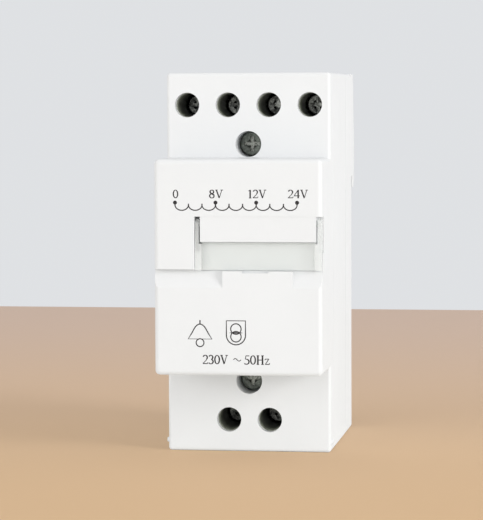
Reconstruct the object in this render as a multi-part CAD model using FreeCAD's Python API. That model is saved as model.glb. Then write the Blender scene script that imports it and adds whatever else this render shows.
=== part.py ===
import FreeCAD, Part
import math
import os

from FreeCAD import Vector

os.makedirs("parts", exist_ok=True)

# A two-module bell transformer for a 35 mm rail, standing on its lower end face.
# X runs across it, Y from the front to the rail, Z up, all in mm.

# Casing
body_width = 36.0
body_height = 83.0
shoulder_depth = 44.6
nose_step = 16.4
shoulder_height = 18.45
cover_skirt = 6.0
base_depth = 13.6
side_wall = 1.0
end_wall = 1.8
front_wall = 2.0
base_wall = 2.0
edge_radius = 0.7
nose_radius = 1.0
seam_chamfer = 0.25
lip_height = 1.4
lip_thickness = 0.8
lip_length = 34.0
pip_radius = 0.9
pip_height = 0.5
pip_rise = 2.2

# Rail, hook and clip
rail_height = 35.0
rail_flange = 1.0
rail_play = 0.3
hook_reach = 5.4
hook_overlap = 2.4
hook_top_reach = 3.3
hook_full_height = 15.0
hook_round = 1.8
clip_width = 14.0
clip_thickness = 2.4
clip_rise = 0.6
clip_catch = 1.8
clip_catch_reach = 4.0
clip_nose = 0.7
clip_bridge = 1.0
clip_notch_low = 2.2
guide_wall = 2.0
guide_lip = 1.3
guide_lip_thickness = 1.4
guide_low = 2.0
guide_inset = 1.5
clip_window_width = 4.8
clip_window_low = 6.0
clip_shoulder = 5.0
lug_height = 1.4
clip_notch_width = 6.0
clip_notch_height = 1.5
spring_diameter = 2.4
spring_wire = 0.4
spring_turns = 8

# Terminals
terminal_margin = 4.5
terminal_inset = 7.0
secondary_count = 4
primary_count = 2
access_diameter = 5.4
screw_depth = 15.0
block_lead = 3.0
block_well_wall = 1.1
terminal_head_diameter = 4.9
terminal_head_height = 1.8
terminal_screw_diameter = 3.5
block_ledge = 1.0
cage_width = 4.9
cage_length = 4.6
cage_side = 0.7
cage_nut = 1.6
cage_floor = 1.0
cage_travel = 3.0
wire_gap = 3.4
contact_thickness = 0.8
contact_width = 3.0
contact_tail_width = 1.8
contact_tail = 4.0
block_wall = 1.4
block_side = 1.6
block_end = 1.5
shelf_thickness = 1.2
funnel_flare = 0.6

# Screws that hold the cover
cover_screw_inset = 15.55
cover_screw_diameter = 2.9
cover_screw_length = 22.0
cover_head_diameter = 5.4
cover_head_height = 1.8
cover_head_depth = 5.6
well_wall = 1.2
well_floor = 1.4
post_diameter = 7.0
post_depth = 16.0
post_bore = 14.0
recess_span = 3.4
recess_width = 0.8
recess_depth = 1.2
recess_middle = 1.1

# Label window in the nose
window_width = 27.3
window_drop = 12.2
window_height = 11.6
window_depth = 3.2
window_wall = 1.2
bar_height = 5.4
left_slot = 1.2
right_slot = 1.3
flap_set_back = 0.1
flap_thickness = 1.1
flap_arm = 0.75
flap_arm_depth = 2.5
arm_shoulder = 2.2
arm_join = 1.6
pivot_depth = 1.6
pivot_drop = 1.7
pivot_head_radius = 1.2
pivot_pin_radius = 0.55
pivot_pin_length = 0.8
card_depth = 1.9
card_thickness = 0.3
scoop_height = 3.6
scoop_lift = 0.35
scoop_depth = 1.6
scoop_left_end = 14.7
scoop_right_end = 6.3
nail_notch_width = 5.8
nail_notch_offset = 11.4
nail_notch_height = 0.4
nail_notch_depth = 1.0

# Transformer
core_side_gap = 1.3
core_post_gap = 4.1
stack_depth = 22.0
core_depth = 8.0
bobbin_wall = 0.8
bobbin_flange = 0.9
coil_gap = 0.7
tape_thickness = 0.25
rib_thickness = 1.6
pad_width = 5.0
fuse_length = 7.0
fuse_width = 4.0
fuse_thickness = 2.0
lead_diameter = 1.0
lead_bend = 2.0
lead_near = 1.2
lead_far = 3.4
lead_low_rise = 3.2
lead_high_rise = 4.8
lead_over_core = 1.7
lead_end_run = 4.0

# Clearances
fit_clearance = 0.1
slide_clearance = 0.15
turn_clearance = 0.15
thread_clearance = 0.05
swing_clearance = 0.15
cut_overrun = 1.0

# Places that follow from the sizes above
nose_y = -(nose_step + shoulder_depth + hook_reach) / 2
shoulder_y = nose_y + nose_step
seat_y = shoulder_y + shoulder_depth
front_seam_y = shoulder_y + cover_skirt
rear_seam_y = seat_y - base_depth
half_width = body_width / 2
inner_half = half_width - side_wall
middle_z = body_height / 2
nose_top = body_height - shoulder_height
nose_bottom = shoulder_height
rail_top = middle_z + rail_height / 2
rail_bottom = middle_z - rail_height / 2

# The terminal stack, from the screw head back to the chamber floor
head_y = shoulder_y + screw_depth
ledge_y = head_y + terminal_head_height + fit_clearance
chamber_y = ledge_y + block_ledge
cage_closed_y = chamber_y + slide_clearance
cage_y = cage_closed_y + cage_travel
contact_y = cage_y + cage_nut + slide_clearance
wire_y = contact_y + contact_thickness
cage_floor_y = wire_y + wire_gap
cage_end_y = cage_floor_y + cage_floor
chamber_end_y = cage_end_y + slide_clearance
block_end_y = chamber_end_y + block_end
block_front_y = head_y - block_lead
block_well_y = shoulder_y + front_wall + fit_clearance
chamber_half = cage_width / 2 + slide_clearance
chamber_half_length = cage_length / 2 + slide_clearance

# The window, its flap and the bar between the flap's arms
window_x = half_width - window_width
window_top = nose_top - window_drop
window_bottom = window_top - window_height
scoop_top = window_bottom + scoop_lift
bar_bottom = window_top - bar_height
bar_left = window_x + left_slot
bar_right = half_width - right_slot
pivot_y = nose_y + pivot_depth
pivot_z = window_top - pivot_drop

# The transformer's core fills the width between the walls and the height between the posts
spine_width = (2 * inner_half - 2 * core_side_gap) / 5
leg_width = (body_height - 2 * cover_screw_inset - post_diameter - 2 * core_post_gap) / 6
core_y = shoulder_y + core_depth
core_end_y = core_y + stack_depth
core_middle_y = (core_y + core_end_y) / 2
core_half = inner_half - core_side_gap
core_half_height = 3 * leg_width

# The clip behind the seat
clip_window_high = rail_bottom - clip_shoulder
clip_back_y = seat_y + slide_clearance + clip_thickness
lug_low = clip_window_low + slide_clearance
guide_high = rail_bottom - guide_inset
clip_catch_root = clip_window_high + clip_bridge
clip_catch_low = clip_catch_root + clip_catch_reach - clip_thickness
hook_floor_y = seat_y + hook_top_reach - base_wall
hook_hollow_low = rail_top + rail_play + base_wall

# The terminals at the upper end
terminal_pitch = (body_width - 2 * terminal_margin) / (secondary_count - 1)
terminal_z = body_height - terminal_inset
block_low = terminal_z - chamber_half_length - block_wall
wire_half_x = cage_width / 2 - cage_side

# The flap's panel clears the bar's lower corner as it swings, and its arms end over the card's seat
bar_corner = math.hypot(pivot_depth - flap_set_back, pivot_z - bar_bottom)
panel_back = pivot_depth - flap_set_back - flap_thickness
panel_top = pivot_z - math.sqrt((bar_corner + swing_clearance) ** 2 - panel_back ** 2)
flap_bottom = window_bottom + swing_clearance
arm_low = panel_top - arm_join
seat_top = arm_low - 2 * swing_clearance

# How far the bobbin's tube and the coil stand out from the middle leg
tube_growth = fit_clearance + bobbin_wall
coil_growth = leg_width - coil_gap
coil_round = (coil_growth - tube_growth) / 2


def box(x0, x1, y0, y1, z0, z1):
    return Part.makeBox(x1 - x0, y1 - y0, z1 - z0, Vector(x0, y0, z0))


def rod(radius, x, y, z, length, direction=Vector(0, 1, 0)):
    return Part.makeCylinder(radius, length, Vector(x, y, z), direction)


def side_profile(points, x0, x1):
    """A closed outline in Y and Z, drawn out along X."""
    corners = [Vector(x0, y, z) for y, z in points]
    return Part.Face(Part.makePolygon(corners + corners[:1])).extrude(Vector(x1 - x0, 0, 0))


def runs_along(edge, axis):
    run = edge.Vertexes[-1].Point.sub(edge.Vertexes[0].Point)
    return abs(abs(run.dot(axis)) - edge.Length) < 1e-6


def lies_at(edge, y):
    return all(abs(vertex.Point.y - y) < 1e-6 for vertex in edge.Vertexes)


def rounded(block, radius, front_y=None):
    """Rounds a block's long edges and, where a face is given, the edges of that face."""
    edges = [edge for edge in block.Edges if runs_along(edge, Vector(0, 1, 0))]
    if front_y is not None:
        edges += [edge for edge in block.Edges if lies_at(edge, front_y)]
    return block.makeFillet(radius, edges)


def mirrored(shape):
    """The same shape at the other end of the body."""
    return shape.mirror(Vector(0, 0, middle_z), Vector(0, 0, 1))


def terminal_places(count):
    return [(index - (count - 1) / 2) * terminal_pitch for index in range(count)]


def both_ends(maker):
    """A feature at the upper end of the body and its mirror image at the lower end."""
    return [maker(secondary_count), mirrored(maker(primary_count))]


def nose_window():
    """What the label window takes out of the nose."""
    opening = box(window_x, half_width + cut_overrun, nose_y - cut_overrun, nose_y + window_depth,
                  window_bottom, window_top)
    nail_x = half_width - nail_notch_offset
    notch = box(nail_x - nail_notch_width, nail_x, nose_y - cut_overrun, nose_y + nail_notch_depth,
                window_bottom - nail_notch_height, window_bottom)
    return opening.fuse(notch)


def window_filling():
    """The bar between the flap's arms, and the seat that the card lies in."""
    back = nose_y + window_depth
    bar = box(bar_left, bar_right, nose_y + flap_set_back, back, bar_bottom, window_top)
    frame = box(window_x, half_width, nose_y + card_depth - card_thickness, back, window_bottom, seat_top)
    seat = box(bar_left, bar_right, nose_y + card_depth, back, window_bottom, bar_bottom)
    pocket = box(bar_left, bar_right, nose_y, nose_y + card_depth, window_bottom, bar_bottom)
    hole_radius = pivot_pin_radius + thread_clearance
    hole_length = pivot_pin_length + slide_clearance
    left_hole = rod(hole_radius, bar_left, pivot_y, pivot_z, hole_length, Vector(1, 0, 0))
    right_hole = rod(hole_radius, bar_right, pivot_y, pivot_z, hole_length, Vector(-1, 0, 0))
    return frame.cut(pocket).fuse([bar, seat]).cut([left_hole, right_hole])


def scoops():
    """The two finger scoops, deepest at the top, a little above the window's lower edge."""
    low = window_bottom - scoop_height
    outside = nose_y - cut_overrun
    outline = [(nose_y + scoop_depth, scoop_top), (nose_y, low), (outside, low), (outside, scoop_top)]
    left = side_profile(outline, -half_width - cut_overrun, -half_width + scoop_left_end)
    right = side_profile(outline, half_width - scoop_right_end, half_width + cut_overrun)
    return left.fuse(right)


def core_pads(reach):
    """Four short ribs that press on the corners of the core, as far as their place needs."""
    pads = []
    pad_z = core_half_height - leg_width / 2
    for side in (-1, 1):
        for end in (-1, 1):
            x = side * (core_half - spine_width / 2)
            z = middle_z + end * pad_z
            front, back = reach(z)
            pads.append(box(x - pad_width / 2, x + pad_width / 2, front, back,
                            z - rib_thickness / 2, z + rib_thickness / 2))
    return pads


def front_cover():
    shoulder = rounded(box(-half_width, half_width, shoulder_y, front_seam_y, 0, body_height),
                       edge_radius, shoulder_y)
    nose = rounded(box(-half_width, half_width, nose_y, shoulder_y + 2 * edge_radius, nose_bottom, nose_top),
                   nose_radius, nose_y)
    cavity = box(-inner_half, inner_half, shoulder_y + front_wall, front_seam_y,
                 end_wall, body_height - end_wall)
    nose_cavity = box(-inner_half, inner_half, nose_y + front_wall, shoulder_y + front_wall,
                      nose_bottom + end_wall, nose_top - end_wall)
    cover = shoulder.fuse(nose).cut(cavity).cut(nose_cavity)

    inside = shoulder_y + front_wall / 2
    extras = []
    holes = []
    for count, end in ((secondary_count, 1), (primary_count, -1)):
        z = middle_z + end * (middle_z - terminal_inset)
        for x in terminal_places(count):
            holes.append(rod(access_diameter / 2, x, shoulder_y - cut_overrun, z, front_wall + cut_overrun))
        z = middle_z + end * (middle_z - cover_screw_inset)
        well_radius = cover_head_diameter / 2 + turn_clearance
        head_end = shoulder_y + cover_head_depth + cover_head_height
        extras.append(rod(well_radius + well_wall, 0, inside, z, head_end + well_floor - inside))
        holes.append(rod(well_radius, 0, shoulder_y - cut_overrun, z, head_end - shoulder_y + cut_overrun))
        holes.append(rod(cover_screw_diameter / 2 + turn_clearance, 0, head_end, z, well_floor))

    window_back = nose_y + window_depth + window_wall
    nose_inside = nose_y + front_wall / 2
    extras.append(box(window_x - window_wall, half_width - side_wall / 2, nose_inside, window_back,
                      window_bottom - window_wall, window_top + window_wall))
    extras.append(box(-inner_half, inner_half, nose_inside, nose_y + front_wall + scoop_depth,
                      window_bottom - scoop_height, scoop_top + window_wall))
    extras += core_pads(lambda z: (nose_inside, core_y))
    for side in (-1, 1):
        pip_y = shoulder_y + pip_radius + edge_radius
        pip_base = Vector(side * (half_width - side_wall / 2), pip_y, pip_rise)
        extras.append(Part.makeCone(pip_radius, pip_radius / 2, side_wall / 2 + pip_height, pip_base,
                                    Vector(side, 0, 0)))
    cover = cover.fuse(extras).cut(holes + [nose_window(), scoops()])
    return cover.fuse(window_filling()).removeSplitter()


def side_tongues(seam_y, forward):
    """Two tongues on the side walls that locate one shell in the next, across a seam."""
    tongues = []
    for side in (-1, 1):
        outer = side * (inner_half - fit_clearance)
        inner = outer - side * lip_thickness
        wall = side * (inner_half + side_wall / 2)
        reach = (seam_y - forward * lip_height, seam_y + forward * lip_height)
        low, high = middle_z - lip_length / 2, middle_z + lip_length / 2
        tongues.append(box(min(inner, outer), max(inner, outer), min(reach), max(reach), low, high))
        root = (seam_y, reach[1])
        tongues.append(box(min(inner, wall), max(inner, wall), min(root), max(root), low, high))
    return tongues


def wire_mouth(x):
    """The flared hole in the end wall that a wire is pushed into."""
    half_x = wire_half_x + fit_clearance
    half_y = wire_gap / 2 + fit_clearance
    middle_y = wire_y + wire_gap / 2
    rings = []
    for z, flare in ((body_height - end_wall, 0), (body_height, funnel_flare)):
        corners = [Vector(x + sx * (half_x + flare), middle_y + sy * (half_y + flare), z)
                   for sx, sy in ((-1, -1), (1, -1), (1, 1), (-1, 1))]
        rings.append(Part.makePolygon(corners + corners[:1]))
    return Part.makeLoft(rings, True, True)


def block_half(count):
    """Half the width of a terminal block. The wide one reaches from wall to wall."""
    own = (count - 1) / 2 * terminal_pitch + chamber_half + block_side
    return min(own, inner_half - fit_clearance)


def block_shelf(count):
    """The shelf behind a terminal block, with a guide at each side of a narrow one."""
    shelf = box(-inner_half, inner_half, block_end_y, block_end_y + shelf_thickness,
                block_low, body_height - end_wall)
    guide_x = block_half(count) + fit_clearance
    if guide_x + shelf_thickness > inner_half:
        return shelf
    for side in (-1, 1):
        near, far = sorted((side * guide_x, side * (guide_x + shelf_thickness)))
        shelf = shelf.fuse(box(near, far, block_front_y, block_end_y, block_low, body_height - end_wall))
    return shelf


def body_shell():
    shell = rounded(box(-half_width, half_width, front_seam_y, rear_seam_y, 0, body_height), edge_radius)
    ends = [edge for edge in shell.Edges if lies_at(edge, front_seam_y) or lies_at(edge, rear_seam_y)]
    shell = shell.makeChamfer(seam_chamfer, ends)
    shell = shell.cut(box(-inner_half, inner_half, front_seam_y, rear_seam_y,
                          end_wall, body_height - end_wall))
    shell = shell.fuse(both_ends(block_shelf) + side_tongues(front_seam_y, 1))
    mouths = [wire_mouth(x) for x in terminal_places(secondary_count)]
    mouths += [mirrored(wire_mouth(x)) for x in terminal_places(primary_count)]
    return shell.cut(mouths).removeSplitter()


def hook():
    """The fixed hook that hangs over the rail's upper edge."""
    gap_y = seat_y + rail_flange + rail_play
    gap_z = rail_top + rail_play
    tip_z = rail_top - hook_overlap
    back_y = seat_y + hook_reach
    round_middle = (back_y - hook_round * (1 - math.sqrt(0.5)), tip_z + hook_round * (1 - math.sqrt(0.5)))
    outline = [(seat_y - base_wall, body_height), (seat_y + hook_top_reach, body_height),
               (back_y, body_height - hook_full_height), (back_y, tip_z + hook_round)]
    after = [(back_y - hook_round, tip_z), (gap_y, tip_z), (gap_y, gap_z), (seat_y - base_wall, gap_z)]
    corners = [Vector(-half_width, y, z) for y, z in outline]
    last = [Vector(-half_width, y, z) for y, z in after]
    arc = Part.Arc(corners[-1], Vector(-half_width, *round_middle), last[0]).toShape()
    straight = [Part.makePolygon(corners), arc, Part.makePolygon(last + corners[:1])]
    profile = Part.Wire([edge for run in straight for edge in run.Edges])
    return Part.Face(profile).extrude(Vector(body_width, 0, 0))


def clip_guides():
    """Two L-shaped guides that hold the clip against the back of the base, and the spring's lug."""
    lip_y = clip_back_y + slide_clearance
    near = clip_width / 2 + slide_clearance
    pieces = []
    for side in (-1, 1):
        leg = sorted((side * near, side * (near + guide_wall)))
        lip = sorted((side * (near - guide_lip), side * (near + guide_wall)))
        pieces.append(box(leg[0], leg[1], seat_y - base_wall / 2, lip_y, guide_low, guide_high))
        pieces.append(box(lip[0], lip[1], lip_y, lip_y + guide_lip_thickness, guide_low, guide_high))
    lug_half = clip_window_width / 2 - 2 * slide_clearance
    pieces.append(box(-lug_half, lug_half, seat_y - base_wall / 2, clip_back_y,
                      lug_low, lug_low + lug_height))
    return pieces


def rail_base():
    base = rounded(box(-half_width, half_width, rear_seam_y, seat_y, 0, body_height), edge_radius, seat_y)
    base = base.fuse(hook())
    hollow = box(-inner_half, inner_half, rear_seam_y, seat_y - base_wall, end_wall, body_height - end_wall)
    hook_hollow = box(-inner_half, inner_half, rear_seam_y, hook_floor_y,
                      hook_hollow_low, body_height - end_wall)
    base = base.cut([hollow, hook_hollow])
    floor_y = seat_y - base_wall / 2
    extras = clip_guides() + side_tongues(rear_seam_y, 1)
    extras += core_pads(lambda z: (core_end_y, floor_y if z < hook_hollow_low else hook_floor_y))
    bores = []
    for z, foot in ((body_height - cover_screw_inset, hook_floor_y), (cover_screw_inset, floor_y)):
        top = shoulder_y + post_depth
        extras.append(rod(post_diameter / 2, 0, top, z, foot - top))
        bores.append(rod(cover_screw_diameter / 2 + thread_clearance, 0, top, z, post_bore))
    return base.fuse(extras).cut(bores).removeSplitter()


def rail_clip():
    front = seat_y + slide_clearance
    plate = box(-clip_width / 2, clip_width / 2, front, clip_back_y, clip_rise, rail_bottom - rail_play)
    window = box(-clip_window_width / 2, clip_window_width / 2, front, clip_back_y,
                 clip_window_low, clip_window_high)
    notch = box(-clip_notch_width / 2, clip_notch_width / 2, front, clip_back_y,
                clip_notch_low, clip_notch_low + clip_notch_height)
    catch_y = seat_y + rail_flange + rail_play
    catch_half = clip_width / 2 - guide_lip - 2 * slide_clearance
    outline = [(catch_y, clip_catch_root), (catch_y, rail_bottom + clip_catch),
               (catch_y + clip_nose, rail_bottom + clip_catch),
               (seat_y + clip_catch_reach, rail_bottom - rail_play),
               (seat_y + clip_catch_reach, clip_catch_low), (clip_back_y, clip_catch_root)]
    catch = side_profile(outline, -catch_half, catch_half)
    return plate.fuse(catch).cut([window, notch]).removeSplitter()


def clip_spring():
    """The small coil spring that pushes the clip up against the rail."""
    radius = (spring_diameter - spring_wire) / 2
    low = lug_low + lug_height + spring_wire / 2
    high = clip_window_high - spring_wire / 2
    y = (seat_y + slide_clearance + clip_back_y) / 2
    path = Part.makeHelix((high - low) / spring_turns, high - low, radius)
    section = Part.Wire(Part.makeCircle(spring_wire / 2, Vector(radius, 0, 0), Vector(0, 1, 0)))
    coil = Part.Wire(path).makePipeShell([section], True, True)
    coil.translate(Vector(0, y, low))
    return coil


def label_flap():
    """The clear flap: a panel over the card, two arms beside the bar and the pins that it turns on."""
    front = nose_y + flap_set_back
    left = window_x + slide_clearance
    right = half_width - slide_clearance
    panel = box(left, right, front, front + flap_thickness, flap_bottom, panel_top)
    shoulder_z = pivot_z - arm_shoulder
    outline = [(pivot_y - pivot_head_radius, pivot_z), (front, shoulder_z), (front, arm_low),
               (front + flap_arm_depth, arm_low), (front + flap_arm_depth, shoulder_z),
               (pivot_y + pivot_head_radius, pivot_z)]
    flap = panel
    for outer, inner, bar_end in ((left, left + flap_arm, bar_left), (right, right - flap_arm, bar_right)):
        inward = Vector(1 if inner > outer else -1, 0, 0)
        flap = flap.fuse(side_profile(outline, min(outer, inner), max(outer, inner)))
        flap = flap.fuse(rod(pivot_head_radius, outer, pivot_y, pivot_z, flap_arm, inward))
        pin_length = abs(bar_end - outer) + pivot_pin_length
        flap = flap.fuse(rod(pivot_pin_radius, outer, pivot_y, pivot_z, pin_length, inward))
    return flap.removeSplitter()


def label_card():
    back = nose_y + card_depth
    return box(bar_left + slide_clearance, bar_right - slide_clearance, back - card_thickness, back,
               window_bottom + slide_clearance, bar_bottom - slide_clearance)


def cross_screw(x, head_front, z, head_diameter, head_height, diameter, length, point):
    """A pan-head screw with a cross recess round a dimple, its head towards the front."""
    head = rod(head_diameter / 2, x, head_front, z, head_height)
    circles = [edge for edge in head.Edges if edge.Curve.TypeId == "Part::GeomCircle"]
    rim = [edge for edge in circles if lies_at(edge, head_front)]
    head = head.makeFillet(head_height / 4, rim)
    shank_y = head_front + head_height
    screw = head.fuse(rod(diameter / 2, x, shank_y, z, length - point))
    if point > 0:
        tip = Vector(x, shank_y + length - point, z)
        screw = screw.fuse(Part.makeCone(diameter / 2, diameter / 6, point, tip, Vector(0, 1, 0)))
    half, thick = recess_span / 2, recess_width / 2
    end = head_front + recess_depth
    cross = box(x - half, x + half, head_front - cut_overrun, end, z - thick, z + thick)
    cross = cross.fuse(box(x - thick, x + thick, head_front - cut_overrun, end, z - half, z + half))
    middle = Vector(x, head_front, z)
    cross = cross.fuse(Part.makeCone(recess_middle, thick, recess_depth, middle, Vector(0, 1, 0)))
    return screw.cut(cross).removeSplitter()


def cover_screw(z):
    return cross_screw(0, shoulder_y + cover_head_depth, z, cover_head_diameter, cover_head_height,
                       cover_screw_diameter, cover_screw_length, cover_screw_diameter)


def terminal_block(count):
    """A black block with a chamber and a screwdriver well for each terminal, at the upper end."""
    half = block_half(count)
    top = body_height - end_wall - fit_clearance
    block = box(-half, half, block_front_y, block_end_y, block_low, top)
    well_radius = access_diameter / 2 + block_well_wall
    wells = [rod(well_radius, x, block_well_y, terminal_z, block_front_y - block_well_y)
             for x in terminal_places(count)]
    inner = inner_half - fit_clearance
    between_walls = box(-inner, inner, block_well_y, block_front_y, 0, body_height)
    block = block.fuse([well.common(between_walls) for well in wells])
    cuts = []
    for x in terminal_places(count):
        cuts.append(box(x - chamber_half, x + chamber_half, chamber_y, chamber_end_y,
                        terminal_z - chamber_half_length, terminal_z + chamber_half_length))
        cuts.append(rod(terminal_head_diameter / 2 + turn_clearance, x, block_well_y, terminal_z,
                        ledge_y - block_well_y))
        cuts.append(rod(terminal_screw_diameter / 2 + turn_clearance, x, ledge_y, terminal_z, block_ledge))
        cuts.append(box(x - wire_half_x, x + wire_half_x, wire_y, cage_floor_y, terminal_z, top))
        slot_half = contact_width / 2 + fit_clearance
        cuts.append(box(x - slot_half, x + slot_half, contact_y, wire_y, block_low, terminal_z))
    return block.cut(cuts).removeSplitter()


def terminal_screw(x):
    shank = contact_y - thread_clearance - head_y - terminal_head_height
    return cross_screw(x, head_y, terminal_z, terminal_head_diameter, terminal_head_height,
                       terminal_screw_diameter, shank, 0)


def clamp_cage(x):
    """The cage that the screw pulls up, so that the wire is gripped against the contact."""
    half = cage_width / 2
    low, high = terminal_z - cage_length / 2, terminal_z + cage_length / 2
    cage = box(x - half, x + half, cage_y, cage_end_y, low, high)
    corners = [edge for edge in cage.Edges if runs_along(edge, Vector(0, 0, 1))]
    cage = cage.makeFillet(cage_side * 0.8, corners)
    window = box(x - wire_half_x, x + wire_half_x, cage_y + cage_nut, cage_floor_y, low, high)
    thread = rod(terminal_screw_diameter / 2 + thread_clearance, x, cage_y, terminal_z, cage_nut)
    return cage.cut([window, thread]).removeSplitter()


def contact(x):
    """The fixed contact: a wide tongue in the cage and a narrow tail for the lead."""
    tongue = box(x - contact_width / 2, x + contact_width / 2, contact_y, wire_y,
                 block_low, terminal_z + cage_length / 2)
    tail = box(x - contact_tail_width / 2, x + contact_tail_width / 2, contact_y, wire_y,
               block_low - contact_tail, block_low)
    return tongue.fuse(tail).removeSplitter()


def core_e_stack():
    """The E laminations, with their three legs along X."""
    leg = leg_width
    root, tip = -core_half + spine_width, core_half - spine_width
    outline = [(-core_half, -3 * leg), (tip, -3 * leg), (tip, -2 * leg), (root, -2 * leg), (root, -leg),
               (tip, -leg), (tip, leg), (root, leg), (root, 2 * leg), (tip, 2 * leg), (tip, 3 * leg),
               (-core_half, 3 * leg)]
    corners = [Vector(x, core_y, middle_z + z) for x, z in outline]
    return Part.Face(Part.makePolygon(corners + corners[:1])).extrude(Vector(0, stack_depth, 0))


def core_i_stack():
    return box(core_half - spine_width, core_half, core_y, core_end_y,
               middle_z - core_half_height, middle_z + core_half_height)


def around_leg(x0, x1, growth, radius=0):
    """A block round the middle leg, larger than the leg by the growth on every side."""
    half_z = leg_width + growth
    half_y = stack_depth / 2 + growth
    block = box(x0, x1, core_middle_y - half_y, core_middle_y + half_y, middle_z - half_z, middle_z + half_z)
    if radius <= 0:
        return block
    return block.makeFillet(radius, [edge for edge in block.Edges if runs_along(edge, Vector(1, 0, 0))])


def bobbin():
    """A two-section bobbin: a square tube with a flange at each end and one in the middle."""
    end = core_half - spine_width - fit_clearance
    tube = around_leg(-end, end, tube_growth)
    flange_growth = leg_width - fit_clearance
    for x in (-end, -bobbin_flange / 2, end - bobbin_flange):
        tube = tube.fuse(around_leg(x, x + bobbin_flange, flange_growth))
    return tube.cut(around_leg(-end, end, fit_clearance)).removeSplitter()


def winding_span(side):
    """From where to where a winding runs along X, on one side of the middle flange."""
    near = bobbin_flange / 2
    far = core_half - spine_width - fit_clearance - bobbin_flange
    return sorted((side * near, side * far))


def winding(side):
    x0, x1 = winding_span(side)
    return around_leg(x0, x1, coil_growth, coil_round).cut(around_leg(x0, x1, tube_growth))


def tape(side):
    x0, x1 = winding_span(side)
    outside = around_leg(x0, x1, coil_growth + tape_thickness, coil_round + tape_thickness)
    return outside.cut(around_leg(x0, x1, coil_growth, coil_round))


def thermal_fuse():
    """The cut-out under the front of the primary winding, on its tape."""
    x0, x1 = winding_span(-1)
    middle_x = (x0 + x1) / 2
    back = core_middle_y - stack_depth / 2 - coil_growth - tape_thickness
    block = box(middle_x - fuse_width / 2, middle_x + fuse_width / 2, back - fuse_thickness, back,
                middle_z - fuse_length / 2, middle_z + fuse_length / 2)
    front_edges = [edge for edge in block.Edges if lies_at(edge, back - fuse_thickness)]
    return block.makeFillet(fuse_thickness / 4, front_edges)


def lead(points):
    """A round wire along straight runs joined by arcs."""
    edges = []
    start = points[0]
    for index in range(1, len(points) - 1):
        corner = points[index]
        to_last = points[index - 1].sub(corner)
        to_next = points[index + 1].sub(corner)
        half_angle = to_last.getAngle(to_next) / 2
        reach = min(lead_bend / math.tan(half_angle), 0.45 * to_last.Length, 0.45 * to_next.Length)
        radius = reach * math.tan(half_angle)
        enter = corner.add(to_last.normalize().multiply(reach))
        leave = corner.add(to_next.normalize().multiply(reach))
        inward = to_last.add(to_next).normalize()
        top = corner.add(inward.multiply(radius / math.sin(half_angle) - radius))
        edges.append(Part.makeLine(start, enter))
        edges.append(Part.Arc(enter, top, leave).toShape())
        start = leave
    edges.append(Part.makeLine(start, points[-1]))
    section = Part.Wire(Part.makeCircle(lead_diameter / 2, points[0], points[1].sub(points[0])))
    return Part.Wire(edges).makePipeShell([section], True, False)


def lead_to(target_x, start_x, in_front, first_rise):
    """A lead from the top of a coil to a contact's tail, passing in front of the core."""
    coil_top = middle_z + leg_width + coil_growth + tape_thickness
    y = core_y - in_front
    tail_z = block_low - contact_tail / 2
    turn_z = middle_z + core_half_height + lead_over_core
    return lead([Vector(start_x, y, coil_top), Vector(start_x, y, coil_top + first_rise),
                 Vector(target_x, y, turn_z), Vector(target_x, contact_y - lead_end_run, tail_z),
                 Vector(target_x, contact_y, tail_z)])


def lead_starts(side, count):
    """Where the leads leave a winding, evenly spaced along it."""
    x0, x1 = winding_span(side)
    return [x0 + (x1 - x0) * (index + 0.5) / count for index in range(count)]


def secondary_lead(index):
    """The first lead crosses the second one, so it runs further in front of the core."""
    first = index == 0
    last = index == secondary_count - 1
    return lead_to(terminal_places(secondary_count)[index], lead_starts(1, secondary_count)[index],
                   lead_far if first else lead_near, lead_low_rise if first or last else lead_high_rise)


def primary_lead(index):
    return mirrored(lead_to(terminal_places(primary_count)[index], lead_starts(-1, primary_count)[index],
                            lead_near, lead_low_rise))


def pieces():
    """Every separate piece, by the name of its file."""
    made = {
        "front_cover": front_cover(),
        "body_shell": body_shell(),
        "rail_base": rail_base(),
        "rail_clip": rail_clip(),
        "clip_spring": clip_spring(),
        "label_flap": label_flap(),
        "label_card": label_card(),
        "cover_screw_upper": cover_screw(body_height - cover_screw_inset),
        "cover_screw_lower": cover_screw(cover_screw_inset),
        "terminal_block_secondary": terminal_block(secondary_count),
        "terminal_block_primary": mirrored(terminal_block(primary_count)),
        "core_e_stack": core_e_stack(),
        "core_i_stack": core_i_stack(),
        "bobbin": bobbin(),
        "primary_winding": winding(-1),
        "secondary_winding": winding(1),
        "primary_tape": tape(-1),
        "secondary_tape": tape(1),
        "thermal_fuse": thermal_fuse(),
    }
    for index, x in enumerate(terminal_places(secondary_count)):
        made[f"secondary_screw_{index + 1}"] = terminal_screw(x)
        made[f"secondary_cage_{index + 1}"] = clamp_cage(x)
        made[f"secondary_contact_{index + 1}"] = contact(x)
        made[f"secondary_lead_{index + 1}"] = secondary_lead(index)
    for index, x in enumerate(terminal_places(primary_count)):
        made[f"primary_screw_{index + 1}"] = mirrored(terminal_screw(x))
        made[f"primary_cage_{index + 1}"] = mirrored(clamp_cage(x))
        made[f"primary_contact_{index + 1}"] = mirrored(contact(x))
        made[f"primary_lead_{index + 1}"] = primary_lead(index)
    return made


for name, shape in pieces().items():
    shape.exportStep(f"parts/{name}.step")
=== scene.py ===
import bpy
import math
from mathutils import Matrix, Vector


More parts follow.
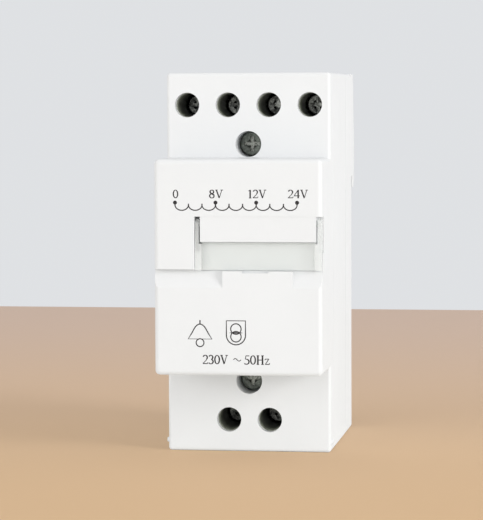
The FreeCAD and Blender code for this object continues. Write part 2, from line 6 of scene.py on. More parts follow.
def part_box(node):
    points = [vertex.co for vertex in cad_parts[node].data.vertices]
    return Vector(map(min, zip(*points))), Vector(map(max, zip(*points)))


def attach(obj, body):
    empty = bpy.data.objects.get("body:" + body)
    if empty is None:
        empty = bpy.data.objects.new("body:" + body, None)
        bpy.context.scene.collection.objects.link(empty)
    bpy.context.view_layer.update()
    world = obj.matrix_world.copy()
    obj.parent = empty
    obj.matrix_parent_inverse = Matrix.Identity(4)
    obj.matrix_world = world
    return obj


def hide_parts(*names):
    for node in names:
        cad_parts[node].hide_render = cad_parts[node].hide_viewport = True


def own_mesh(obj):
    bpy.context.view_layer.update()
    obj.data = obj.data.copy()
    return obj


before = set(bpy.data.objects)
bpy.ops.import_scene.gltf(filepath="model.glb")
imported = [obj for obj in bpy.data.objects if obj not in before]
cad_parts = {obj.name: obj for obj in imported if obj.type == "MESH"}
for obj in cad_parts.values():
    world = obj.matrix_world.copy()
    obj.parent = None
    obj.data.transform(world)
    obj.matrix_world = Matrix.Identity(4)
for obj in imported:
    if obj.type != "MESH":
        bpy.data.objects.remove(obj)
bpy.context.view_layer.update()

# The camera, from the casing's corners in the photograph
IMAGE_HEIGHT = 520
FOCAL_PX = 2455.87
CAMERA_PLACE = (0.07707, -0.54707, 0.07592)
CAMERA_YAW = math.radians(-8.439)
CAMERA_TILT = math.radians(3.608)
CAMERA_ROLL = math.radians(0.235)
SENSOR_MM = 36.0
CLIP_START = 0.01

# Places on the part, in metres
MM = 0.001
NOSE_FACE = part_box("front_cover")[0][1]
COVER_SCREW_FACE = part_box("cover_screw_upper")[0][1]
BLOCK_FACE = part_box("terminal_block_secondary")[0][1]
FLAP_ENDS = [corner[0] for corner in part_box("label_flap")]

# The clip's spring
SPRING_WIRE = 0.4 * MM
SPRING_TURNS = 8
SPRING_TURN_STEPS = 24
SPRING_ROUNDNESS = 3

# Ink: its thickness in metres, and the width of a plain stroke in mm
INK_THICKNESS = 0.02 * MM
INK_LINE = 0.27
INK_ROUNDNESS = 1

# A place beside the part that is at another distance from each face of a dot
SORTING_PLACE = (0.0411, -0.0937, 0.0173)


# Materials: a socket that works in Python's expressions, and a finish built from nodes

class Signal:
    """A node's output. Arithmetic on it adds Math nodes to its finish."""

    def __init__(self, finish, socket):
        self.finish = finish
        self.socket = socket

    def maths(self, operation, other):
        return self.finish.node("ShaderNodeMath", {"operation": operation}, {0: self, 1: other})

    def __add__(self, other):
        return self.maths("ADD", other)

    def __sub__(self, other):
        return self.maths("SUBTRACT", other)

    def __mul__(self, other):
        return self.maths("MULTIPLY", other)


class Finish:
    """A material made of nodes, on the object's own coordinates in metres."""

    def __init__(self, name):
        self.material = bpy.data.materials.new(name)
        self.material.use_nodes = True
        self.tree = self.material.node_tree
        self.tree.nodes.clear()
        self.place = self.node("ShaderNodeTexCoord", {}, {}, "Object")

    def node(self, kind, settings, sockets, output=0):
        made = self.tree.nodes.new(kind)
        for key, value in settings.items():
            setattr(made, key, value)
        for key, value in sockets.items():
            if isinstance(value, Signal):
                self.tree.links.new(value.socket, made.inputs[key])
            else:
                made.inputs[key].default_value = value
        return Signal(self, made.outputs[output])

    def along(self, axis):
        """The object's coordinate along one axis."""
        return self.node("ShaderNodeSeparateXYZ", {}, {0: self.place}, axis)

    def stretched(self, scale):
        """The object's coordinates, scaled apart along each axis."""
        return self.node("ShaderNodeMapping", {}, {"Vector": self.place, "Scale": scale})

    def noise(self, size, detail=3.0, roughness=0.5, where=None):
        """Noise whose blobs are about size metres across, from 0 to 1."""
        return self.node("ShaderNodeTexNoise", {}, {"Vector": where or self.place, "Scale": 1 / size,
                                                    "Detail": detail, "Roughness": roughness})

    def bands(self, axis, scale, distortion, detail=1.0):
        """Bands across one axis, from 0 to 1, more of them at a greater scale."""
        return self.node("ShaderNodeTexWave", {"wave_type": "BANDS", "bands_direction": axis},
                         {"Vector": self.place, "Scale": scale, "Distortion": distortion, "Detail": detail},
                         "Fac")

    def ramp(self, factor, low, high):
        """A smooth step from 0 at low to 1 at high, which may be the smaller value."""
        return self.node("ShaderNodeMapRange", {"interpolation_type": "SMOOTHSTEP"},
                         {"Value": factor, "From Min": low, "From Max": high})

    def blend(self, factor, first, second):
        """A colour between two colours."""
        return self.node("ShaderNodeMix", {"data_type": "RGBA"}, {"Factor": factor, 6: first, 7: second}, 2)

    def bump(self, height, depth, under=None):
        """A bump of the given depth in metres, on top of another where one is given."""
        sockets = {"Height": height, "Distance": depth}
        if under is not None:
            sockets["Normal"] = under
        return self.node("ShaderNodeBump", {}, sockets)

    def seen_by(self, kind):
        """1 for rays of one kind, such as the camera's, and 0 for all others."""
        return self.node("ShaderNodeLightPath", {}, {}, f"Is {kind} Ray")

    def surface(self, **sockets):
        """The shader: values go on its own sockets, and what varies is linked."""
        named = {key.replace("_", " "): value for key, value in sockets.items()}
        return self.finished(self.node("ShaderNodeBsdfPrincipled", {}, named))

    def finished(self, shader):
        out = self.tree.nodes.new("ShaderNodeOutputMaterial")
        self.tree.links.new(shader.socket, out.inputs["Surface"])
        return self.material


def shade(colour, factor=1.0):
    """A colour with its alpha, made darker or lighter by a factor."""
    return (colour[0] * factor, colour[1] * factor, colour[2] * factor, 1.0)


PLASTIC_IOR = 1.5
FLAP_IOR = 1.58

# How far the painted light at a well's mouth reaches into it, how much paler it paints the wall, and where a
# driver rubs a recess and its painted highlight starts, in metres
WELL_LIGHT_REACH = 0.009
WELL_LIGHT_GAIN = 5.5
RECESS_HIGHLIGHT_START = 0.0001
RECESS_HIGHLIGHT_END = 0.0005

# The flap's opacity face on, what its edges and the painted sheen along its arms add, and where that sheen
# is, in metres
FLAP_OPACITY = 0.06
EDGE_OPACITY = 0.3
ARM_SHEEN_OPACITY = 0.44
ARM_SHEEN_START = 0.0016
ARM_SHEEN_END = 0.0012


def moulded_plastic(name, colour, roughness, grain, grain_depth, variation):
    """Satin moulded plastic: spark-eroded grain, slow colour drift and faint handling marks."""
    finish = Finish(name)
    drift = finish.noise(0.022, detail=2.0)
    speck = finish.noise(grain * 3, detail=2.0)
    tone = finish.ramp(drift * 0.8 + speck * 0.2, 0.3, 0.7)
    base = finish.blend(tone, shade(colour, 1 - variation), shade(colour, 1 + variation))
    rub = finish.ramp(finish.noise(0.006, detail=4.0, roughness=0.65), 0.35, 0.75)
    eroded = finish.noise(grain, detail=4.0, roughness=0.6)
    orange_peel = finish.noise(grain * 8, detail=1.0)
    relief = finish.bump(orange_peel, depth=grain_depth * 1.5)
    relief = finish.bump(eroded, depth=grain_depth, under=relief)
    return finish.surface(Base_Color=base, Roughness=rub * 0.1 + (roughness - 0.05), Normal=relief,
                          IOR=PLASTIC_IOR)


def block_plastic(name, colour, face):
    """Dark moulded insulation, paler at its face and in the mouths of its wells as painted light, darker
    deeper in as painted shade.
    """
    finish = Finish(name)
    patches = finish.noise(0.002) * 0.4 + 0.6
    # Painted light: the block is paled in patches near its face and in the wells' mouths, and left dark
    # deeper in.
    dust_and_painted_light = finish.ramp(finish.along("Y") - face, WELL_LIGHT_REACH, 0.0) * patches
    mottle = finish.noise(0.0009, detail=4.0, roughness=0.6)
    base = finish.blend(mottle, shade(colour, 0.7), shade(colour, 1.3))
    base = finish.blend(dust_and_painted_light, base, shade(colour, WELL_LIGHT_GAIN))
    return finish.surface(Base_Color=base, Roughness=dust_and_painted_light * 0.25 + 0.38,
                          Normal=finish.bump(finish.noise(0.0002, detail=4.0), depth=0.000008))


def cover_screw_steel(name, colour, bare_and_lit, roughness):
    """Dulled plating, brighter inside the recess where the screwdriver rubbed it and as a painted highlight.
    """
    finish = Finish(name)
    patches = finish.ramp(finish.noise(0.0008, detail=5.0, roughness=0.6), 0.35, 0.7)
    dull = finish.blend(patches, shade(colour, 0.6), shade(colour, 1.3))
    inside = finish.ramp(finish.along("Y") - COVER_SCREW_FACE, RECESS_HIGHLIGHT_START, RECESS_HIGHLIGHT_END)
    # Painted highlight on top of real rubbing: below the head's face the recess is paler and glossier, in
    # patches.
    rubbed_and_highlight = inside * finish.ramp(finish.noise(0.0004), 0.3, 0.6)
    base = finish.blend(rubbed_and_highlight, dull, shade(bare_and_lit))
    relief = finish.bump(finish.noise(0.0003, detail=4.0, roughness=0.6), depth=0.00002)
    return finish.surface(Base_Color=base, Metallic=0.85, Roughness=rubbed_and_highlight * -0.15 + roughness, Normal=relief)


def plated_steel(name, colour, roughness, stain):
    """Zinc-plated steel, a little dull, with fine turning marks and darker stains."""
    finish = Finish(name)
    patches = finish.ramp(finish.noise(0.0011, detail=5.0, roughness=0.6), 0.35, 0.7)
    base = finish.blend(patches, shade(colour, 1 - stain), shade(colour, 1 + 0.5 * stain))
    marks = finish.noise(0.00018, roughness=0.6, where=finish.stretched((1.0, 0.25, 1.0)))
    return finish.surface(Base_Color=base, Metallic=0.9, Roughness=patches * -0.14 + roughness,
                          Normal=finish.bump(marks, depth=0.000012))


def clear_plastic(name, thin, hazy, ends):
    """The clear flap: faintly green, glossy, scratched, whiter at its edges, and whiter along its arms as
    painted sheen.
    """
    finish = Finish(name)
    haze = finish.noise(0.004)
    scratches = finish.noise(0.0004, detail=2.0, where=finish.stretched((0.12, 1.0, 1.0)))
    edge = finish.node("ShaderNodeLayerWeight", {}, {"Blend": 0.35}, "Facing")
    off_middle = finish.along("X") - (ends[0] + ends[1]) / 2
    half_length = (ends[1] - ends[0]) / 2
    # Painted sheen: the flap is made more opaque, and so whiter, towards both ends where its arms are.
    arm_sheen = finish.ramp(off_middle * off_middle,
                        (half_length - ARM_SHEEN_START) ** 2, (half_length - ARM_SHEEN_END) ** 2)
    return finish.surface(Base_Color=finish.blend(haze, shade(thin), shade(hazy)),
                          Roughness=haze * 0.06 + 0.05,
                          Alpha=edge * EDGE_OPACITY + arm_sheen * ARM_SHEEN_OPACITY + FLAP_OPACITY,
                          Normal=finish.bump(scratches, depth=0.000004), IOR=FLAP_IOR)


def label_paper(name, dark, pale):
    """Uncoated card: grey-green, with short fibres."""
    finish = Finish(name)
    fibres = finish.noise(0.00025, detail=5.0, roughness=0.7, where=finish.stretched((0.3, 1.0, 1.0)))
    pulp = finish.noise(0.0015, detail=4.0, roughness=0.6)
    return finish.surface(Base_Color=finish.blend(fibres * 0.5 + pulp * 0.5, shade(dark), shade(pale)),
                          Roughness=pulp * 0.1 + 0.8, Normal=finish.bump(fibres, depth=0.00002))


def printing_ink(name, full, thin):
    """Pad-printed ink: near black, slightly raised and broken at its thinnest."""
    finish = Finish(name)
    cover = finish.noise(0.0002, roughness=0.6)
    return finish.surface(Base_Color=finish.blend(cover, shade(full), shade(thin)),
                          Roughness=cover * 0.15 + 0.55, Specular_IOR_Level=0.25,
                          Normal=finish.bump(cover, depth=0.000006))


def stacked_sheets(name, dark, pale):
    """Varnished laminations: thin sheets stacked along the depth."""
    finish = Finish(name)
    varnish = finish.noise(0.003, detail=4.0, roughness=0.6)
    sheets = finish.bands("Y", scale=314.0, distortion=0.3)
    return finish.surface(Base_Color=finish.blend(varnish, shade(dark), shade(pale)), Metallic=0.6,
                          Roughness=varnish * 0.2 + 0.4, Normal=finish.bump(sheets, depth=0.00008))


def wound_wire(name, colour):
    """Enamelled wire laid turn beside turn along the winding."""
    finish = Finish(name)
    turns = finish.bands("X", scale=900.0, distortion=0.8, detail=2.0)
    base = finish.blend(finish.noise(0.002), shade(colour, 0.75), shade(colour, 1.2))
    return finish.surface(Base_Color=base, Metallic=0.8, Roughness=turns * 0.15 + 0.25,
                          Normal=finish.bump(turns, depth=0.00006))


def film_tape(name, deep, pale):
    """Yellow film tape, wrapped in overlapping layers."""
    finish = Finish(name)
    laps = finish.bands("X", scale=60.0, distortion=1.5)
    haze = finish.noise(0.002)
    return finish.surface(Base_Color=finish.blend(haze, shade(deep), shade(pale)),
                          Roughness=haze * 0.15 + 0.2, Normal=finish.bump(laps, depth=0.00003))


def wire_sleeve(name, colour):
    """Soft insulation on a lead: slightly dusty, with fine drawing lines."""
    finish = Finish(name)
    dust_and_painted_light = finish.noise(0.0012, detail=4.0, roughness=0.6)
    base = finish.blend(dust_and_painted_light, shade(colour, 0.8), shade(colour, 1.25))
    return finish.surface(Base_Color=base, Roughness=dust_and_painted_light * 0.2 + 0.4,
                          Normal=finish.bump(finish.noise(0.0003), depth=0.00001))


def drawn_metal(name, colour):
    """Bare metal strip or wire with rolling lines."""
    finish = Finish(name)
    rolled = finish.noise(0.0002, roughness=0.6, where=finish.stretched((1.0, 1.0, 0.1)))
    base = finish.blend(rolled, shade(colour, 0.82), shade(colour, 1.1))
    return finish.surface(Base_Color=base, Metallic=1.0, Roughness=rolled * 0.15 + 0.25,
                          Normal=finish.bump(rolled, depth=0.000008))


CASING_WHITE = moulded_plastic("casing_white", (0.79, 0.806, 0.814), roughness=0.42,
                               grain=0.00016, grain_depth=0.0000045, variation=0.012)
CLIP_WHITE = moulded_plastic("clip_white", (0.74, 0.74, 0.72), roughness=0.45,
                             grain=0.00018, grain_depth=0.000006, variation=0.02)
BLOCK_BLACK = block_plastic("block_black", (0.10, 0.105, 0.09), BLOCK_FACE)
BOBBIN_CREAM = moulded_plastic("bobbin_cream", (0.66, 0.60, 0.42), roughness=0.5,
                               grain=0.00020, grain_depth=0.000006, variation=0.04)
FUSE_BLUE = moulded_plastic("fuse_blue", (0.03, 0.06, 0.14), roughness=0.4,
                            grain=0.00020, grain_depth=0.000005, variation=0.1)
COVER_SCREW_STEEL = cover_screw_steel("cover_screw_steel", (0.20, 0.22, 0.195),
                                      bare_and_lit=(0.44, 0.46, 0.42), roughness=0.46)
TERMINAL_SCREW_STEEL = plated_steel("terminal_screw_steel", (0.36, 0.375, 0.35), roughness=0.30, stain=0.8)
CAGE_STEEL = plated_steel("cage_steel", (0.50, 0.48, 0.42), roughness=0.4, stain=0.2)
SPRING_STEEL = drawn_metal("spring_steel", (0.50, 0.50, 0.50))
CONTACT_BRASS = drawn_metal("contact_brass", (0.72, 0.52, 0.22))
FLAP_CLEAR = clear_plastic("flap_clear", (0.88, 0.91, 0.90), (0.95, 0.97, 0.96), FLAP_ENDS)
CARD_PAPER = label_paper("card_paper", (0.76, 0.79, 0.78), (0.82, 0.85, 0.84))
INK_BLACK = printing_ink("ink_black", (0.012, 0.011, 0.012), (0.045, 0.040, 0.042))
CORE_STEEL = stacked_sheets("core_steel", (0.035, 0.036, 0.040), (0.10, 0.10, 0.11))
WINDING_COPPER = wound_wire("winding_copper", (0.42, 0.14, 0.05))
TAPE_YELLOW = film_tape("tape_yellow", (0.62, 0.40, 0.03), (0.80, 0.56, 0.06))
LEAD_RED = wire_sleeve("lead_red", (0.30, 0.02, 0.015))
LEAD_BLUE = wire_sleeve("lead_blue", (0.02, 0.05, 0.22))

# Each node's finish, by the start of its name
NODE_FINISHES = {
    "front_cover": CASING_WHITE, "body_shell": CASING_WHITE, "rail_base": CASING_WHITE,
    "rail_clip": CLIP_WHITE, "clip_spring": SPRING_STEEL, "label_flap": FLAP_CLEAR,
    "label_card": CARD_PAPER, "cover_screw": COVER_SCREW_STEEL, "terminal_block": BLOCK_BLACK,
    "core_": CORE_STEEL, "bobbin": BOBBIN_CREAM, "thermal_fuse": FUSE_BLUE,
    "primary_winding": WINDING_COPPER, "secondary_winding": WINDING_COPPER,
    "primary_tape": TAPE_YELLOW, "secondary_tape": TAPE_YELLOW,
    "primary_screw": TERMINAL_SCREW_STEEL, "secondary_screw": TERMINAL_SCREW_STEEL,
    "primary_cage": CAGE_STEEL, "secondary_cage": CAGE_STEEL,
    "primary_contact": CONTACT_BRASS, "secondary_contact": CONTACT_BRASS,
    "primary_lead": LEAD_RED, "secondary_lead": LEAD_BLUE,
}


def finish_nodes():
    for name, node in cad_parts.items():
        for start, material in NODE_FINISHES.items():
            if name.startswith(start):
                for material_slot in node.material_slots:
                    material_slot.material = material


def clear_selection():
    if bpy.context.object and bpy.context.object.mode != "OBJECT":
        bpy.ops.object.mode_set(mode="OBJECT")
    bpy.ops.object.select_all(action="DESELECT")


def apply_transform():
    bpy.ops.object.transform_apply(location=True, rotation=True, scale=True)


def finish_mesh(name, material):
    """Names the object in hand, turns its normals outward and gives it its material."""
    made = bpy.context.object
    made.name = name
    made.data.name = name
    bpy.ops.object.mode_set(mode="EDIT")
    bpy.ops.mesh.select_all(action="SELECT")
    bpy.ops.mesh.normals_make_consistent(inside=False)
    bpy.ops.object.mode_set(mode="OBJECT")
    made.data.materials.clear()
    made.data.materials.append(material)
    return made


def sort_faces():
    """Puts the faces in hand in one order, because Blender's sphere has another one at each run."""
    bpy.context.scene.cursor.location = SORTING_PLACE
    bpy.ops.object.mode_set(mode="EDIT")
    bpy.ops.mesh.select_all(action="SELECT")
    bpy.ops.mesh.sort_elements(type="CURSOR_DISTANCE", elements={"FACE"})
    bpy.ops.object.mode_set(mode="OBJECT")


def round_line(places, thicknesses, radius, roundness, closed=False):
    """A round wire through places, its radius multiplied by a thickness at each, as the mesh in hand."""
    clear_selection()
    bpy.ops.curve.primitive_nurbs_path_add(location=(0, 0, 0))
    path = bpy.context.object
    path.data.splines.clear()
    run = path.data.splines.new("POLY")
    run.points.add(len(places) - 1)
    for point, place, thickness in zip(run.points, places, thicknesses):
        point.co = (*place, 1)
        point.radius = thickness
    run.use_cyclic_u = closed
    path.data.bevel_depth = radius
    path.data.bevel_resolution = roundness
    path.data.use_fill_caps = not closed
    bpy.ops.object.convert(target="MESH")
    return bpy.context.object


def coil_spring():
    """The clip's spring, a round coil in the CAD spring's place; the real spring shortens when the clip is
    pulled.
    """
    low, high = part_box("clip_spring")
    radius = (high[0] - low[0] - SPRING_WIRE) / 2
    middle_y = (low[1] + high[1]) / 2
    rise = high[2] - low[2] - SPRING_WIRE
    steps = SPRING_TURNS * SPRING_TURN_STEPS
    places = []
    for index in range(steps + 1):
        angle = 2 * math.pi * SPRING_TURNS * index / steps
        places.append((radius * math.cos(angle), middle_y + radius * math.sin(angle),
                       low[2] + SPRING_WIRE / 2 + rise * index / steps))
    round_line(places, [1.0] * len(places), SPRING_WIRE / 2, SPRING_ROUNDNESS)
    bpy.ops.object.shade_smooth()
    spring = finish_mesh("coil_spring", SPRING_STEEL)
    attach(spring, "casing")
    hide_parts("clip_spring")
    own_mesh(spring)


# Print on the nose: strokes and figures a hair's breadth proud of its face

def ink_stroke(points, closed=False):
    """One stroke of ink through points on the nose face, each (x, z) or (x, z, width) in mm."""
    places = [(x * MM, 0, z * MM) for x, z, *_ in points]
    thicknesses = [width[0] / INK_LINE if width else 1.0 for _, _, *width in points]
    stroke = round_line(places, thicknesses, INK_LINE * MM / 2, INK_ROUNDNESS, closed)
    stroke.location = (0, NOSE_FACE, 0)
    stroke.scale = (1, 2 * INK_THICKNESS / (INK_LINE * MM), 1)
    apply_transform()
    return stroke


def ink_dot(x, z, radius):
    """A filled round dot with a softly rounded rim."""
    clear_selection()
    bpy.ops.mesh.primitive_uv_sphere_add(segments=24, ring_count=12, radius=radius * MM,
                                         location=(x * MM, NOSE_FACE, z * MM))
    dot = bpy.context.object
    dot.scale = (1, INK_THICKNESS / (radius * MM), 1)
    apply_transform()
    sort_faces()
    return dot


def turned(start, end, steps):
    """Evenly stepped angles from start to end, given in degrees."""
    return [math.radians(start + (end - start) * step / steps) for step in range(steps + 1)]


def arc(x, z, radius_x, radius_z, start, end, steps):
    """Points along an arc of an ellipse, angles in degrees."""
    return [(x + radius_x * math.cos(a), z + radius_z * math.sin(a)) for a in turned(start, end, steps)]


def ink_ring(x, z, radius, count):
    """A ring drawn through a count of points."""
    return ink_stroke(arc(x, z, radius, radius, 0, 360 - 360 / count, count - 1), closed=True)


def join_as(pieces, name):
    """Joins strokes into one printed mark that rides on the casing."""
    clear_selection()
    for piece in pieces:
        piece.select_set(True)
    bpy.context.view_layer.objects.active = pieces[0]
    bpy.ops.object.join()
    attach(finish_mesh(name, INK_BLACK), "casing")


# Figures with thick and thin strokes and serifs, in units of their height: advance, then strokes
THIN = 0.10
THICK = 0.185
BAR = 0.11
SERIF_REACH = 0.12
BOWL_STEPS = 20


def bowl(x, z, radius_x, radius_z, start, end):
    """A round stroke, thick at its sides and thin at its top and foot."""
    points = arc(x, z, radius_x, radius_z, start, end, BOWL_STEPS)
    return [(px, pz, THIN + (THICK - THIN) * abs(math.cos(a)))
            for (px, pz), a in zip(points, turned(start, end, BOWL_STEPS))]


def line(x0, z0, x1, z1, width):
    return [(x0, z0, width), (x1, z1, width)]


def serif(x, z):
    return line(x - SERIF_REACH, z, x + SERIF_REACH, z, THIN)


GLYPHS = {
    "0": (0.60, [bowl(0.30, 0.50, 0.225, 0.47, 0, 360)]),
    "1": (0.50, [line(0.12, 0.86, 0.27, 0.98, THIN), line(0.28, 1.0, 0.28, 0.0, THICK), serif(0.28, 0.02)]),
    "2": (0.60, [bowl(0.29, 0.73, 0.20, 0.25, 165, -15) + [(0.38, 0.42, 0.09), (0.06, 0.05, THIN)],
                 line(0.05, 0.05, 0.51, 0.05, BAR), line(0.51, 0.05, 0.55, 0.20, THIN)]),
    "3": (0.56, [bowl(0.25, 0.75, 0.18, 0.23, 160, -80), bowl(0.24, 0.27, 0.22, 0.25, 85, -150)]),
    "4": (0.62, [line(0.43, 1.0, 0.04, 0.30, THIN), line(0.03, 0.29, 0.58, 0.29, BAR),
                 line(0.43, 1.0, 0.43, 0.0, THICK)]),
    "5": (0.56, [line(0.17, 0.95, 0.50, 0.95, BAR), line(0.17, 0.95, 0.12, 0.58, THIN),
                 bowl(0.22, 0.30, 0.25, 0.28, 105, -140)]),
    "8": (0.60, [bowl(0.30, 0.76, 0.17, 0.21, 0, 360), bowl(0.30, 0.27, 0.21, 0.25, 0, 360),
                 line(0.18, 0.62, 0.42, 0.42, THICK)]),
    "V": (0.76, [line(0.13, 0.98, 0.40, 0.02, THICK), line(0.40, 0.02, 0.64, 0.98, THIN),
                 serif(0.13, 0.98), serif(0.64, 0.98)]),
    "H": (0.80, [line(0.17, 1.0, 0.17, 0.0, THICK), line(0.62, 1.0, 0.62, 0.0, THICK),
                 line(0.17, 0.5, 0.62, 0.5, THIN), serif(0.17, 0.98), serif(0.62, 0.98), serif(0.17, 0.02),
                 serif(0.62, 0.02)]),
    "z": (0.54, [line(0.08, 0.62, 0.44, 0.62, THIN), line(0.43, 0.61, 0.09, 0.03, BAR),
                 line(0.07, 0.03, 0.47, 0.03, THIN), line(0.08, 0.63, 0.06, 0.49, THIN),
                 line(0.47, 0.03, 0.50, 0.17, THIN)]),
}


def figures(words, x0, x1, z0, z1):
    """The strokes of printed figures that fill the given width and height, in mm."""
    height = z1 - z0
    scale = (x1 - x0) / sum(GLYPHS[letter][0] for letter in words)
    strokes = []
    for index, letter in enumerate(words):
        start = x0 + scale * sum(GLYPHS[before][0] for before in words[:index])
        for stroke in GLYPHS[letter][1]:
            strokes.append(ink_stroke([(start + scale * x, z0 + height * z, height * width)
                                       for x, z, width in stroke]))
    return strokes


# The coil drawing over the window: nine bumps in mm, a dot and a figure at each tap
TAP_FIRST = -13.41
TAP_PITCH = 8.713
TAP_COUNT = 4
BUMPS_PER_TAP = 3
BUMP_STEPS = 20
CUSP_LEVEL = 54.81
CUSP_OVERLAP = 0.1
BUMP_DEPTH = 1.13
DOT_LEVEL = 55.32
DOT_RADIUS = 0.43
TICK_LEVEL = 55.08
FIGURE_LOW = 56.27
FIGURE_HIGH = 58.03
TAP_FIGURES = (("0", -13.91, -12.66), ("8V", -6.14, -3.06), ("12V", 2.13, 6.18), ("24V", 10.70, 15.06))


def tap_scale():
    bump = TAP_PITCH / BUMPS_PER_TAP
    bump_count = (TAP_COUNT - 1) * BUMPS_PER_TAP
    marks = []
    for index in range(bump_count):
        x = TAP_FIRST + (index + 0.5) * bump
        marks.append(ink_stroke(arc(x, CUSP_LEVEL, bump / 2, BUMP_DEPTH, 180, 360, BUMP_STEPS)))
    for index in range(bump_count + 1):
        x = TAP_FIRST + index * bump
        on_tap = index % BUMPS_PER_TAP == 0
        marks.append(ink_stroke([(x, CUSP_LEVEL - CUSP_OVERLAP), (x, DOT_LEVEL if on_tap else TICK_LEVEL)]))
        if on_tap:
            marks.append(ink_dot(x, DOT_LEVEL, DOT_RADIUS))
    join_as(marks, "tap_scale")
    printed = []
    for words, x0, x1 in TAP_FIGURES:
        printed += figures(words, x0, x1, FIGURE_LOW, FIGURE_HIGH)
    join_as(printed, "tap_figures")


# The bell, in mm
BELL_MIDDLE = -8.16
BELL_BASE = 26.27
BELL_STEM_TOP = 30.30
BELL_SIDE = ((2.55, 0.0), (1.83, 1.15), (1.25, 2.20), (0.95, 2.65), (0.62, 2.95), (0.30, 3.13), (0.0, 3.19))
CLAPPER_RADIUS = 0.84
CLAPPER_DROP = 0.95
CLAPPER_POINTS = 24

# The shield: two coils that cross in a filled lens, and a short bar on each side of it, in mm
SHIELD_MIDDLE = -0.43
SHIELD_HALF_WIDTH = 2.05
SHIELD_TOP = 30.21
SHIELD_STRAIGHT_END = 27.15
SHIELD_STEPS = 24
COIL_RADIUS = 1.12
COIL_POINTS = 30
UPPER_COIL = 28.46
LOWER_COIL = 26.82
LENS_REACH = 0.75
LENS_WIDTH = 0.34
LENS_TIP_WIDTH = 0.06
SIDE_BAR_NEAR = 0.9
SIDE_BAR_FAR = 1.35
SIDE_BAR_WIDTH = 0.16

# The supply figures and the wave between them, in mm
SUPPLY_FIGURES = (("230V", -7.69, -2.18), ("50Hz", 1.31, 6.85))
SUPPLY_LOW = 20.93
SUPPLY_HIGH = 22.86
WAVE_ENDS = (-1.00, 0.61)
WAVE_RISE = 0.27
WAVE_WIDTH = 0.2
WAVE_STEPS = 24


def bell_sign():
    right = [(BELL_MIDDLE + x, BELL_BASE + z) for x, z in BELL_SIDE]
    left = [(BELL_MIDDLE - x, BELL_BASE + z) for x, z in BELL_SIDE]
    marks = [ink_stroke(left + right[-2::-1], closed=True)]
    marks.append(ink_stroke([right[-1], (BELL_MIDDLE, BELL_STEM_TOP)]))
    marks.append(ink_ring(BELL_MIDDLE, BELL_BASE - CLAPPER_RADIUS * CLAPPER_DROP, CLAPPER_RADIUS,
                          CLAPPER_POINTS))
    join_as(marks, "bell_sign")


def shield_sign():
    left = SHIELD_MIDDLE - SHIELD_HALF_WIDTH
    right = SHIELD_MIDDLE + SHIELD_HALF_WIDTH
    foot = arc(SHIELD_MIDDLE, SHIELD_STRAIGHT_END, SHIELD_HALF_WIDTH, SHIELD_HALF_WIDTH, 180, 360,
               SHIELD_STEPS)
    marks = [ink_stroke([(right, SHIELD_TOP), (left, SHIELD_TOP)] + foot, closed=True)]
    for level in (UPPER_COIL, LOWER_COIL):
        marks.append(ink_ring(SHIELD_MIDDLE, level, COIL_RADIUS, COIL_POINTS))
    middle = (UPPER_COIL + LOWER_COIL) / 2
    marks.append(ink_stroke([(SHIELD_MIDDLE - LENS_REACH, middle, LENS_TIP_WIDTH),
                             (SHIELD_MIDDLE, middle, LENS_WIDTH),
                             (SHIELD_MIDDLE + LENS_REACH, middle, LENS_TIP_WIDTH)]))
    for side in (-1, 1):
        near, far = SHIELD_MIDDLE + side * SIDE_BAR_NEAR, SHIELD_MIDDLE + side * SIDE_BAR_FAR
        marks.append(ink_stroke(line(near, middle, far, middle, SIDE_BAR_WIDTH)))
    join_as(marks, "coil_sign")


def supply_line():
    marks = []
    for words, x0, x1 in SUPPLY_FIGURES:
        marks += figures(words, x0, x1, SUPPLY_LOW, SUPPLY_HIGH)
    middle = (SUPPLY_LOW + SUPPLY_HIGH) / 2
    start, end = WAVE_ENDS
    wave = [(start + (end - start) * step / WAVE_STEPS,
             middle + WAVE_RISE * math.sin(2 * math.pi * step / WAVE_STEPS), WAVE_WIDTH)
            for step in range(WAVE_STEPS + 1)]
    marks.append(ink_stroke(wave))
    join_as(marks, "supply_figures")


# The stage, in metres: a warm floor that ends behind the part, a pale wall, and the lamps
FLOOR_NEAR = -1.2
FLOOR_FAR = 0.36
FADE_START = -0.15
WALL_PLACE = 1.6
STAGE_WIDTH = 4.0
NEAR_FLOOR = (0.735, 0.51, 0.30, 1.0)
FAR_FLOOR_WITH_SHEEN = (0.70, 0.54, 0.435, 1.0)
BOUNCED_FLOOR = (0.90, 0.865, 0.81, 1.0)
WALL_COLOUR = (0.74, 0.755, 0.775, 1.0)
LAMP_TARGET = (0, 0, 0.04)
LAMP_COLOUR = (1.0, 0.99, 0.98)
ROOM_COLOUR = (1.0, 0.99, 0.995, 1.0)
ROOM_STRENGTH = 0.76


def wall_finish():
    """The wall looks the same plain colour to the camera, in reflections and through the flap."""
    finish = Finish("pale_wall")
    looks = finish.seen_by("Camera") + finish.seen_by("Glossy") + finish.seen_by("Transmission")
    matt = finish.node("ShaderNodeBsdfDiffuse", {}, {"Color": WALL_COLOUR})
    glow = finish.node("ShaderNodeEmission", {}, {"Color": WALL_COLOUR})
    return finish.finished(finish.node("ShaderNodeMixShader", {}, {0: looks, 1: matt, 2: glow}))


def floor_finish():
    """Warm matt floor, a little paler towards its far edge as painted sheen, that tints little of what stands
    on it.
    """
    finish = Finish("pale_floor")
    # Painted sheen: the colour turns from the near one to a paler, greyer far one with distance.
    base = finish.blend(finish.ramp(finish.along("Y"), FADE_START, FLOOR_FAR), NEAR_FLOOR, FAR_FLOOR_WITH_SHEEN)
    base = finish.blend(finish.seen_by("Camera"), BOUNCED_FLOOR, base)
    drift = finish.noise(0.05, detail=2.0)
    return finish.surface(Base_Color=base, Roughness=drift * 0.1 + 0.7, Specular_IOR_Level=0.1)


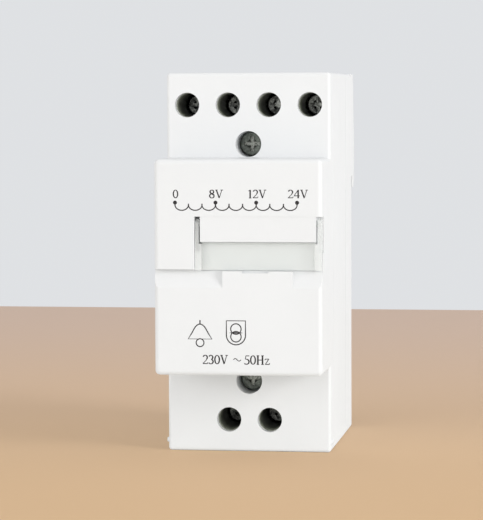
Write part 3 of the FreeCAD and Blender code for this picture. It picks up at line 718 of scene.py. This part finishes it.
def stage_plane(name, place, tilt, length, material):
    clear_selection()
    bpy.ops.mesh.primitive_plane_add(size=1, location=place, rotation=(tilt, 0, 0))
    plane = bpy.context.object
    plane.name = name
    plane.scale = (STAGE_WIDTH, length, 1)
    apply_transform()
    plane.data.materials.append(material)
    return plane


def add_stage():
    floor = stage_plane("floor", (0, (FLOOR_FAR + FLOOR_NEAR) / 2, 0), 0, FLOOR_FAR - FLOOR_NEAR,
                        floor_finish())
    wall = stage_plane("wall", (0, WALL_PLACE, 0), math.radians(90), STAGE_WIDTH, wall_finish())


def lamp(name, place, size, power):
    """A square lamp that faces the part: its side in metres and its power in watts."""
    bpy.ops.object.light_add(type="AREA", location=place)
    light = bpy.context.object
    light.name = name
    light.data.shape = "SQUARE"
    light.data.size = size
    light.data.energy = power
    light.data.color = LAMP_COLOUR
    direction = Vector(LAMP_TARGET) - Vector(place)
    light.rotation_euler = direction.to_track_quat("-Z", "Y").to_euler()


def add_lamps():
    lamp("key_lamp", (1.08, -0.55, 0.34), size=0.45, power=7.4)
    lamp("fill_lamp", (-0.7, -0.75, 0.06), size=0.8, power=3.9)
    world = bpy.data.worlds.new("soft_room")
    bpy.context.scene.world = world
    world.use_nodes = True
    background = world.node_tree.nodes["Background"]
    background.inputs["Color"].default_value = ROOM_COLOUR
    background.inputs["Strength"].default_value = ROOM_STRENGTH


def add_camera():
    """The camera stands in front and to the right, near the casing's top, and looks a little down."""
    turn = Matrix.Rotation(-CAMERA_YAW, 3, "Z") @ Matrix.Rotation(-CAMERA_TILT, 3, "X")
    roll = Matrix.Rotation(CAMERA_ROLL, 3, "Y")
    upright = Matrix.Rotation(math.radians(90), 3, "X")
    data = bpy.data.cameras.new("photo_camera")
    camera = bpy.data.objects.new("photo_camera", data)
    bpy.context.collection.objects.link(camera)
    camera.matrix_world = Matrix.Translation(CAMERA_PLACE) @ (turn @ roll @ upright).to_4x4()
    data.sensor_width = SENSOR_MM
    data.lens = FOCAL_PX * SENSOR_MM / IMAGE_HEIGHT
    data.clip_start = CLIP_START
    bpy.context.scene.camera = camera


finish_nodes()
coil_spring()
tap_scale()
bell_sign()
shield_sign()
supply_line()
add_stage()
add_lamps()
add_camera()
bpy.context.scene.view_settings.view_transform = "Standard"
